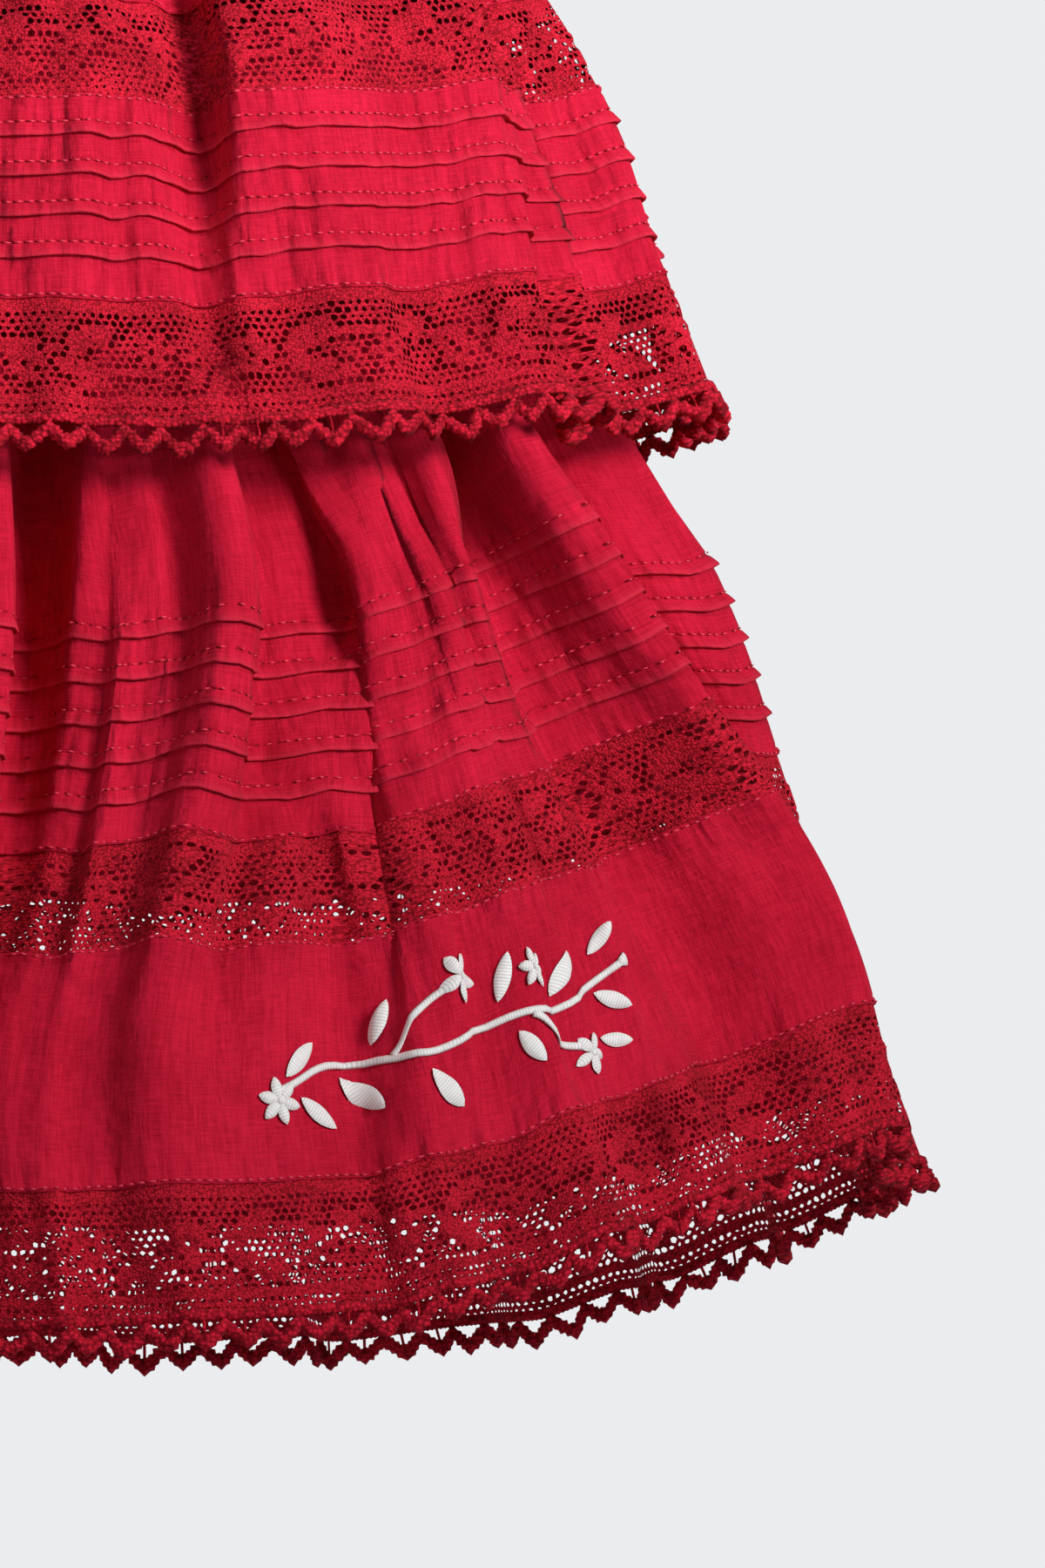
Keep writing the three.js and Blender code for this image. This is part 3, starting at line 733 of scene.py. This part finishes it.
def picot_edging(drape, span, start, seed, node):
    """A band, a cord in pointed loops under it, and stray threads across some of the loops."""
    name = node.replace("edging", "cord")
    places, lengths = drape.stretch(span, start)
    whole = lengths[-1]
    draw = np.random.default_rng(seed)
    band_middle = BAND_HEIGHT / 2
    stitches_round = round(whole / BAND_STITCH)
    steps = np.arange(stitches_round * 2 + 1)
    band_x = steps / (2 * stitches_round) * whole
    band_radius = band_middle + np.where(steps % 2 == 0, *BAND_BULGE)
    flatness = BAND_HALF_WALL / band_middle
    parts = [flat_tube(band_x, np.full(len(steps), band_middle), band_radius, flatness)]
    teeth = round(whole / PICOT_PITCH)
    p = np.arange(teeth * CORD_SAMPLES + 1) / CORD_SAMPLES
    tooth = np.minimum(p.astype(int), teeth - 1)
    share = p - tooth
    pointed = 1 - np.abs(2 * share - 1)
    shape = POINTED_SHARE * pointed + (1 - POINTED_SHARE) * np.sin(math.pi * share)
    tips = LOOP_TIP + draw.uniform(*TIP_SPREAD, teeth)
    leans = draw.uniform(-LOOP_LEAN, LOOP_LEAN, teeth)
    cord_x = p / teeth * whole + leans[tooth] * shape
    cord_y = mix(LOOP_TOP, tips[tooth], shape)
    tip = np.exp(-(((share - 0.5) / TIP_REACH) ** 2))
    root = np.exp(-((np.minimum(share, 1 - share) / ROOT_REACH) ** 2))
    twist = CORD_TWIST * np.cos(p * CORD_SAMPLES * math.pi)
    twist += draw.uniform(-TWIST_SPREAD, TWIST_SPREAD, len(p))
    cord_radius = CORD_RADIUS + KNOT_GROWTH * tip - ROOT_NARROWING * root + twist
    parts.append(flat_tube(cord_x, cord_y, cord_radius, CORD_FLATNESS))
    fraction = np.linspace(0, 1, STRAY_POINTS)
    for t in [t for t in range(teeth) if draw.random() < STRAY_SHARE]:
        aim = leans[t] * draw.uniform(0.5, 1.2)
        x = (t + 0.5) / teeth * whole + aim * fraction
        radii = np.full(STRAY_POINTS, STRAY_RADIUS)
        parts.append(flat_tube(x, mix(band_middle, tips[t], fraction), radii, 0.9))
    joined = join_parts(parts)
    flat = np.array([vertex.co for vertex in joined.verts])
    place = np.interp(flat[:, 0], lengths, places)
    set_places(joined, drape.cloth(place, flat[:, 1] + start, flat[:, 2]) * MM)
    bmesh.ops.recalc_face_normals(joined, faces=joined.faces[:])
    mesh = to_mesh(joined, name)
    add_map(mesh, "cloth", flat[:, :2] * MM)
    return finish_piece(link(mesh, name), "picot", [node])


# Waistband with a gathered elastic inside, and the plain base panel under the upper tier
ELASTIC_GATHERS = 92
WAIST_COLUMNS = 368
WAIST_ROWS = 20
WAIST_EDGE = 0.3
WAIST_SQUARENESS = 0.35
WAIST_PUCKER = 0.8
BASE_GATHERS = 62
BASE_GATHER_SIZE = 0.45
BASE_SWELL_SIZE = 0.5
BASE_COLUMNS = 250
BASE_ROWS = 22
BASE_MEAN_RADIUS = 140


def oval_point(width, depth, turn, z):
    return np.stack([width * np.sin(turn), -depth * np.cos(turn), z], 1)


def waistband():
    """A closed soft tube round the elastic, puckered all round."""
    bm = flat_grid(WAIST_COLUMNS, WAIST_ROWS)
    share, level = grid_places(bm).T
    turn = share * 2 * math.pi
    around = level * 2 * math.pi
    half_height = (WAISTBAND_HEIGHT + WAISTBAND_LAP) / 2
    up = np.sign(np.cos(around)) * np.abs(np.cos(around)) ** WAIST_SQUARENESS
    wall = np.sin(around)
    pucker = np.cos(ELASTIC_GATHERS * turn + 0.9 * np.sin(7 * turn) + 0.5 * np.sin(up * 5))
    swell = (0.5 + 0.3 * np.cos(up * math.pi * 3)) * pucker
    half_wall = WAISTBAND_WALL / 2 - 0.4
    out = wall * half_wall + np.sign(wall) * np.abs(wall) ** 0.5 * swell * WAIST_PUCKER
    frill = WAIST_EDGE * np.sin(ELASTIC_GATHERS * turn) * np.abs(up) ** 6
    z = -half_height + up * (half_height - WAIST_EDGE) + frill
    points = oval_point(WAIST_HALF_WIDTH + out, WAIST_HALF_DEPTH + out, turn, z)
    set_places(bm, points * MM)
    bmesh.ops.remove_doubles(bm, verts=bm.verts[:], dist=1e-6)
    bmesh.ops.recalc_face_normals(bm, faces=bm.faces[:])
    mesh = to_mesh(bm, "waistband_cover")
    mean = (WAIST_HALF_WIDTH + WAIST_HALF_DEPTH) / 2
    co = np.array([vertex.co for vertex in mesh.vertices])
    angle = np.arctan2(co[:, 0], -co[:, 1])
    add_map(mesh, "cloth", np.stack([angle * mean * MM, -co[:, 2]], 1))
    return finish_piece(link(mesh, "waistband_cover"), "plain", ["waistband"])


def base_panel(first, last, node):
    """A plain gathered panel that carries the lower tier."""
    name = node + "_cloth"
    columns = round(BASE_COLUMNS * (last - first) / 360)
    bm = flat_grid(columns, BASE_ROWS)
    share, level = grid_places(bm).T
    turn = np.radians(mix(first, last, share))
    flare = level**BASE_SWELL
    fade = np.exp(-level * 5) + 0.35 * np.exp(-(1 - level) * 8)
    gather = BASE_GATHER_SIZE * np.cos(BASE_GATHERS * turn + np.sin(5 * turn) * 1.2) * fade
    swell = BASE_SWELL_SIZE * np.sin(9 * turn + level * 2) * np.sin(level * math.pi)
    width, depth = (
        half - LAYER_OFFSET + widening * flare + gather + swell
        for half, widening in zip((WAIST_HALF_WIDTH, WAIST_HALF_DEPTH), BASE_FLARE)
    )
    z = -WAISTBAND_HEIGHT - SEAM_GAP - BASE_DROP * level
    set_places(bm, oval_point(width, depth, turn, z) * MM)
    mesh = to_mesh(bm, name)
    add_map(mesh, "cloth", np.stack([turn * BASE_MEAN_RADIUS * MM, -z * MM], 1))
    piece = link(mesh, name)
    thicken(piece)
    return finish_piece(piece, "plain", [node])


# Colours, as linear red, green and blue
COTTON_DEEP = (0.33, 0.001, 0.014, 1)
COTTON_LIGHT = (0.63, 0.010, 0.044, 1)
# Painted highlight on the raised tuck edges, where light falls on the fold's top
COTTON_EDGE_HIGHLIGHT = (0.80, 0.075, 0.12, 1)
# Painted shade in the dimples at the needle holes
NEEDLE_HOLE_SHADE = (0.16, 0.0, 0.006, 1)
# Each thread's darker colour is painted shade in the crevices between its knots and strands
LACE_CREVICE_SHADE = (0.18, 0.001, 0.006, 1)
LACE_LIGHT = (0.70, 0.012, 0.038, 1)
PICOT_CREVICE_SHADE = (0.18, 0.001, 0.006, 1)
PICOT_LIGHT = (0.72, 0.012, 0.040, 1)
# Painted shade between the sewing thread's knots
THREAD_SHADE = (0.74, 0.04, 0.08, 1)
THREAD_RED = (0.96, 0.16, 0.22, 1)
# Painted shade in the grooves between the satin strands
FLOSS_SHADE = (0.6192, 0.6048, 0.5976, 1)
FLOSS_WHITE = (0.86, 0.84, 0.83, 1)
SHEEN_TINT = (1.0, 0.55, 0.6, 1)
PALE_FLOOR = (0.84, 0.85, 0.87, 1)
BACKGROUND = (0.83, 0.84, 0.86, 1)


KNOT_SHARE = 0.6


class Recipe:
    """A material's nodes, added one by one."""

    def __init__(self, name):
        self.material = bpy.data.materials.new(name)
        self.material.use_nodes = True
        self.tree = self.material.node_tree
        self.shader = self.tree.nodes["Principled BSDF"]

    def add(self, kind, settings=None, **inputs):
        node = self.tree.nodes.new(kind)
        for key, value in (settings or {}).items():
            setattr(node, key, value)
        for key, value in inputs.items():
            self.join(node, key, value)
        return node

    def join(self, node, key, value):
        """Sets or links one input, by its name, or by its number as in n0."""
        numbered = key[0] == "n" and key[1:].isdigit()
        self.feed(node.inputs[int(key[1:])] if numbered else node.inputs[key], value)

    def feed(self, socket, value):
        if isinstance(value, bpy.types.NodeSocket):
            self.tree.links.new(value, socket)
        else:
            socket.default_value = value

    def math(self, operation, first, second=0.0, clamp=False):
        settings = {"operation": operation, "use_clamp": clamp}
        return self.add("ShaderNodeMath", settings, n0=first, n1=second).outputs[0]

    def times(self, first, second):
        return self.math("MULTIPLY", first, second)

    def total(self, *parts):
        """Values added up, each times its share."""
        scaled = [self.times(value, share) for value, share in parts]
        whole = scaled[0]
        for part in scaled[1:]:
            whole = self.math("ADD", whole, part)
        return whole

    def uv(self, name):
        return self.add("ShaderNodeUVMap", {"uv_map": name}).outputs[0]

    def split(self, vector):
        return self.add("ShaderNodeSeparateXYZ", Vector=vector).outputs

    def stretched(self, vector, scale):
        return self.add("ShaderNodeMapping", Vector=vector, Scale=(*scale, 1)).outputs[0]

    def noise(self, vector, scale, detail, rough):
        node = self.add("ShaderNodeTexNoise", Vector=self.stretched(vector, scale), Scale=1.0,
                        Detail=detail, Roughness=rough)
        return node.outputs[0]

    def knots(self, vector, scale):
        """Small rounded bumps, close like loops of thread: one on top, nought between them."""
        node = self.add("ShaderNodeTexVoronoi", Vector=self.stretched(vector, scale), Scale=1.0,
                        Randomness=0.7)
        return self.math("SUBTRACT", 1.0, node.outputs["Distance"], clamp=True)

    def blend(self, share, first, second):
        node = self.add("ShaderNodeMix", {"data_type": "RGBA"}, n0=share)
        colours = [socket for socket in node.inputs if socket.type == "RGBA"]
        for socket, value in zip(colours, (first, second)):
            self.feed(socket, value)
        return next(socket for socket in node.outputs if socket.type == "RGBA")

    def ramp(self, value, low, high):
        span = {"Value": value, "From Min": low, "From Max": high}
        settings = {"interpolation_type": "SMOOTHSTEP"}
        return self.add("ShaderNodeMapRange", settings, **span).outputs[0]

    def bump(self, height, distance, strength=1.0, below=None):
        node = self.add("ShaderNodeBump", Height=height, Distance=distance, Strength=strength)
        if below is not None:
            self.join(node, "Normal", below)
        return node.outputs[0]

    def look(self, **inputs):
        """Sets the shader's inputs, their names written with _ for each blank."""
        for key, value in inputs.items():
            self.join(self.shader, key.replace("_", " "), value)
        return self.material

    def cloth(self, colour, normal, roughness, sheen, specular):
        return self.look(Base_Color=colour, Normal=normal, Roughness=roughness,
                         Specular_IOR_Level=specular, Sheen_Weight=sheen,
                         Sheen_Roughness=0.45, Sheen_Tint=SHEEN_TINT)


def cotton_material(name, stitched):
    """Matt plain-weave voile: warp and weft, slubs, fine puckers beside seams, needle holes with
    painted shade, and a painted highlight on the raised tuck edges.
    """
    recipe = Recipe(name)
    cloth = recipe.uv("cloth")
    warp = recipe.noise(cloth, (2600, 160), 2, 0.55)
    weft = recipe.noise(cloth, (160, 2600), 2, 0.55)
    slub = recipe.noise(cloth, (900, 45), 2, 0.5)
    cloud = recipe.noise(cloth, (28, 22), 3, 0.55)
    weave = recipe.math("ADD", warp, weft)
    tone = recipe.total((weave, 0.45), (slub, 0.3), (cloud, 0.45))
    colour = recipe.blend(recipe.ramp(tone, 0.55, 1.1), COTTON_DEEP, COTTON_LIGHT)
    ripple = recipe.noise(cloth, (210, 34), 1, 0.4)
    kink = recipe.noise(cloth, (80, 66), 4, 0.55)
    normal = recipe.bump(weave, 0.0002, 0.8)
    if stitched:
        edge_highlight_and_gather = recipe.split(recipe.uv("edge_highlight_and_gather"))
        # Painted highlight: a paler colour where the tuck edges stand out most
        colour = recipe.blend(recipe.times(edge_highlight_and_gather[0], 0.15), colour, COTTON_EDGE_HIGHLIGHT)
        place = recipe.split(recipe.uv("stitch"))
        along = recipe.times(recipe.math("PINGPONG", place[0], 0.5), STITCH_PITCH)
        aside = recipe.math("ABSOLUTE", recipe.times(place[1], 1.3))
        squares = [recipe.math("POWER", part, 2.0) for part in (along, aside)]
        far = recipe.math("SQRT", recipe.math("ADD", *squares))
        # Painted shade: dark dots at the needle holes, in the same dimples as the bump below
        hole_dimple_and_shade = recipe.math("SUBTRACT", 1.0, recipe.ramp(far, 0.14, 0.55))
        colour = recipe.blend(recipe.times(hole_dimple_and_shade, 0.65), colour, NEEDLE_HOLE_SHADE)
        near = recipe.math("ADD", recipe.times(edge_highlight_and_gather[1], 0.9), 0.1)
        normal = recipe.bump(recipe.times(ripple, near), 0.0042, 0.8, normal)
        normal = recipe.bump(recipe.math("SUBTRACT", 1.0, hole_dimple_and_shade), 0.0003, 0.8, normal)
    else:
        normal = recipe.bump(ripple, 0.0015, 0.6, normal)
    normal = recipe.bump(kink, 0.0045, 0.6, normal)
    return recipe.cloth(colour, normal, 0.9, 0.03, 0.12)


def thread_material(name, crevice_shade, light, scale, height):
    """Twisted cotton yarn: fine diagonal strands, painted shade in the crevices between its knots
    and strands, and a soft uneven tone.
    """
    recipe = Recipe(name)
    cloth = recipe.uv("cloth")
    knot = scale * KNOT_SHARE
    strands = recipe.noise(cloth, (scale, scale * 0.55), 3, 0.6)
    cloud = recipe.noise(cloth, (60, 60), 2, 0.5)
    knots = recipe.knots(cloth, (knot, knot * 1.25))
    fine = recipe.total((strands, 0.35), (knots, 0.65))
    tone = recipe.total((fine, 0.7), (cloud, 0.3))
    # Painted shade: darkest where the knots and strands are lowest, mixed with a random cloud of
    # tone
    colour = recipe.blend(recipe.ramp(tone, 0.3, 0.72), crevice_shade, light)
    return recipe.cloth(colour, recipe.bump(fine, height, 0.9), 0.88, 0.02, 0.12)


def floss_material(name):
    """Satin stitch: close parallel strands across each leaf and petal, each lighter on its ridge
    and darker in its groove as painted shade.
    """
    recipe = Recipe(name)
    cloth = recipe.uv("cloth")
    strand = recipe.math("PINGPONG", recipe.times(recipe.split(cloth)[0], 3200.0), 1.0)
    grain = recipe.noise(cloth, (2200, 300), 2, 0.5)
    tone = recipe.total((strand, 0.5), (grain, 0.5))
    # Painted shade: darker in each groove between strands, as the bump is
    colour = recipe.blend(recipe.ramp(tone, 0.2, 0.75), FLOSS_SHADE, FLOSS_WHITE)
    return recipe.cloth(colour, recipe.bump(tone, 0.00012, 0.8), 0.55, 0.2, 0.4)


def stage_material(name, colour):
    return Recipe(name).look(Base_Color=colour, Roughness=0.95, Specular_IOR_Level=0.1)


# Satin-stitched sprig on the plain band: where it sits on the cloth, its stems, leaves and flowers
SPRIG_PLACE = 3.45
SPRIG_DOWN = 223
SPRIG_TILT = -2
STEM_WIDTH = 0.8
SPRIG_SIZE = 1.22
SPRIG_RAISE = 0.55
PETAL_TURN = 18
PETAL_OUT = 0.58
PETAL_HALF_WIDTH = 0.27
FLOWER_MIDDLE = (1.1, 1.1, 1.1)
SPRIG_STEMS = [
    [(-46, 4), (-30, -3), (-12, 2), (6, -2), (24, 3), (44, -3)],
    [(-20, 0), (-14, -7), (-6, -11)],
    [(14, 0), (20, 8), (29, 12)],
]
# One row a leaf: its middle across and down, half its length, half its width, its turn in degrees
SPRIG_LEAVES = [
    (-39, -3, 5.2, 1.9, -40), (-36, 8, 5, 1.8, 42), (-26, 5, 5.6, 2, 50), (-22, -9, 4.6, 1.7, -64),
    (-9, 9, 5.4, 2, 58), (10, -9, 5, 1.9, -60), (12, 7, 4.6, 1.7, 66), (27, -5, 5.4, 2, -44),
    (40, 4, 4.6, 1.7, 38), (42, -9, 4.6, 1.6, -30), (47, -3, 4.2, 1.5, -10), (38, 12, 3.8, 1.5, 24),
]
# One row a flower: its middle across and down, petal length, number of petals
SPRIG_FLOWERS = [(-2, -12, 5.4, 5), (-45, 5, 4.6, 6), (29, 13, 4.4, 5), (18, -8, 4.2, 6)]


def satin_leaf(half_long, half_wide, height):
    """A padded pointed oval, flat in its own frame: x along it, y across it, z out of the cloth."""
    bm = flat_grid(10, 6)
    for vertex in bm.verts:
        x, y = vertex.co.x, vertex.co.y
        width = half_wide * (1 - abs(x) ** 1.8) ** 0.75
        dome = (1 - abs(x) ** 3) * (1 - y * y) ** 0.6
        vertex.co = (x * half_long, y * width, 0.1 + height * dome)
    bmesh.ops.remove_doubles(bm, verts=bm.verts[:], dist=1e-5)
    return bm


def placed(part, across, down, turn):
    """Turns a small flat part and moves it to its place on the sprig."""
    for vertex in part.verts:
        x, y = turned(vertex.co.x, vertex.co.y, turn)
        vertex.co = (across + x, down + y, vertex.co.z)
    return part


def sprig_leaves():
    """Half length, half width, height, place and turn of each leaf, petal and flower's middle."""
    for across, down, half_long, half_wide, turn in SPRIG_LEAVES:
        yield half_long, half_wide, 0.75, across, down, turn
    for across, down, reach, petals in SPRIG_FLOWERS:
        for i in range(petals):
            turn = 360 * i / petals + PETAL_TURN
            x, y = turned(PETAL_OUT * reach, 0, turn)
            yield reach / 2, reach * PETAL_HALF_WIDTH, 0.8, across + x, down + y, turn
        yield *FLOWER_MIDDLE, across, down, 0


def sprig_stem(stem):
    knots = np.array(stem, float)
    steps = np.arange(len(knots))
    fine = np.linspace(0, len(knots) - 1, 8 * (len(knots) - 1) + 1)
    x, y = (np.interp(fine, steps, knots[:, i]) for i in (0, 1))
    soft = np.convolve(np.pad(y, 3, "edge"), np.ones(7) / 7, "valid")
    return flat_tube(x, soft, np.full(len(x), STEM_WIDTH), 0.7)


def satin_sprig(drape):
    parts = [(placed(satin_leaf(*size), across, down, turn), turn)
             for *size, across, down, turn in sprig_leaves()]
    parts += [(sprig_stem(stem), 0) for stem in SPRIG_STEMS]
    grains = []
    for part, turn in parts:
        x, y = np.array([vertex.co[:2] for vertex in part.verts]).T
        grains.append(np.stack(turned(x, y, -turn), 1))
    joined = join_parts([part for part, _ in parts])
    x, y, z = np.array([vertex.co for vertex in joined.verts]).T
    across, down = turned(x * SPRIG_SIZE, y * SPRIG_SIZE, SPRIG_TILT)
    places, lengths = drape.stretch((SPRIG_PLACE - 4, SPRIG_PLACE + 4), SPRIG_DOWN)
    place = np.interp(across + np.interp(SPRIG_PLACE, places, lengths), lengths, places)
    set_places(joined, drape.cloth(place, SPRIG_DOWN + down, z + SPRIG_RAISE) * MM)
    mesh = to_mesh(joined, "satin_sprig")
    add_map(mesh, "cloth", np.concatenate(grains) * MM)
    return finish_piece(link(mesh, "satin_sprig"), "floss")


MATERIALS = {
    "cotton": cotton_material("red_voile", stitched=True),
    "plain": cotton_material("red_voile_plain", stitched=False),
    "lace": thread_material("red_lace_thread", LACE_CREVICE_SHADE, LACE_LIGHT, 2200, 0.0007),
    "picot": thread_material("red_crochet_yarn", PICOT_CREVICE_SHADE, PICOT_LIGHT, 1300, 0.0014),
    "stitch": thread_material("red_sewing_thread", THREAD_SHADE, THREAD_RED, 3000, 0.0001),
    "floss": floss_material("white_floss"),
}
HALVES = ("front", "back")
SEAM_STITCH_OUT = 0.5
TUCK_STITCH_OUT = 0.0


def make_tier(prefix, drape, carrier, seed):
    """Every strip of one tier, each as a front and a back, each set just below the strip above it.
    """
    tier = drape.tier
    right, left = tier["side_seams"]
    spans = {"front": (left - drape.folds, right), "back": (right, left)}
    tucks = [tier["first_tuck"] + i * TUCK_PITCH for i in range(tier["tucks"])]
    above = dict(carrier)
    start = 0
    for order, (strip, end) in enumerate(tier["ends"].items()):
        if strip == "picot_edging":
            continue
        for side, span in spans.items():
            cut, node = f"{prefix}_{strip}", f"{prefix}_{strip}_{side}"
            own_seed = seed + 10 * order + HALVES.index(side)
            if strip.endswith("lace"):
                piece = lace_strip(drape, span, start, end, strip, node)
                trims = []
                if strip == "hem_lace":
                    edging = f"{prefix}_picot_edging_{side}"
                    trims = [picot_edging(drape, span, end + SEAM_GAP, own_seed, edging)]
            else:
                edges = tucks if strip == "tuck_panel" else []
                lines = [(edge - TUCK_HEIGHT - 0.15, TUCK_STITCH_OUT) for edge in edges]
                lines += [(end - SEAM_STITCH_DOWN, SEAM_STITCH_OUT)]
                if start > 0:
                    lines += [(start + SEAM_STITCH_DOWN, SEAM_STITCH_OUT)]
                downs = [down for down, _ in lines]
                rows = panel_rows(start, end, edges)
                piece = cotton_strip(drape, span, rows, downs, node, own_seed)
                sewing = stitches(drape, span, lines, node)
            above[side] = piece
        start = end + SEAM_GAP


upper = Drape(UPPER, UPPER_PROFILE, UPPER_FOLDS, UPPER_CREASES, 5)
lower = Drape(LOWER, LOWER_PROFILE, LOWER_FOLDS, LOWER_CREASES, 8)
band = waistband()
base = {
    half: base_panel(first, first + 180, f"base_panel_{half}")
    for half, first in (("front", -90), ("back", 90))
}
make_tier("upper", upper, {side: band for side in HALVES}, 100)
make_tier("lower", lower, base, 300)
satin_sprig(lower)

# Pale floor, soft light and background
FLOOR_HEIGHT = -1.0
FLOOR_RADIUS = 5.0
AMBIENT = 0.1
# One row a light: its place and where it points, in metres, its size, spread in degrees and watts.
# The key light points over the skirt, so that it is brightest on the upper tier.
LIGHTS = {
    "key_light": ((1.8, -1.35, 0.75), (0.1, 0, 0.42), 0.8, 50, 12.3),
    "fill_light": ((-2.6, -2.8, 0.5), (0.1, 0, -0.26), 1.4, 180, 15),
    "back_light": ((-1.0, 3.0, 1.6), (0.1, 0, -0.26), 2.2, 180, 40),
    "top_light": ((0.0, 0.3, 4.0), (0, 0.3, 0), 6.0, 180, 60),
}


def make_floor():
    bm = bmesh.new()
    bmesh.ops.create_circle(bm, cap_ends=True, segments=64, radius=FLOOR_RADIUS)
    bmesh.ops.translate(bm, verts=bm.verts[:], vec=(0, 0, FLOOR_HEIGHT))
    floor = link(to_mesh(bm, "floor"), "floor")
    floor.data.materials.append(stage_material("pale_floor", PALE_FLOOR))


def make_lights():
    for name, (place, aim, size, spread, power) in LIGHTS.items():
        data = bpy.data.lights.new(name, "AREA")
        data.size = size
        data.spread = math.radians(spread)
        data.energy = power
        light = link(data, name)
        light.location = place
        light.rotation_euler = (Vector(aim) - Vector(place)).to_track_quat("-Z", "Y").to_euler()


def make_world():
    world = bpy.data.worlds.new("studio")
    bpy.context.scene.world = world
    world.use_nodes = True
    nodes, links = world.node_tree.nodes, world.node_tree.links
    plain = nodes["Background"]
    plain.inputs["Color"].default_value = (1, 1, 1, 1)
    plain.inputs["Strength"].default_value = AMBIENT
    seen = nodes.new("ShaderNodeBackground")
    seen.inputs["Color"].default_value = BACKGROUND
    path = nodes.new("ShaderNodeLightPath")
    chosen = nodes.new("ShaderNodeMixShader")
    links.new(path.outputs["Is Camera Ray"], chosen.inputs[0])
    links.new(plain.outputs[0], chosen.inputs[1])
    links.new(seen.outputs[0], chosen.inputs[2])
    links.new(chosen.outputs[0], nodes["World Output"].inputs[0])


make_floor()
make_lights()
make_world()
bpy.context.scene.view_settings.view_transform = "Standard"
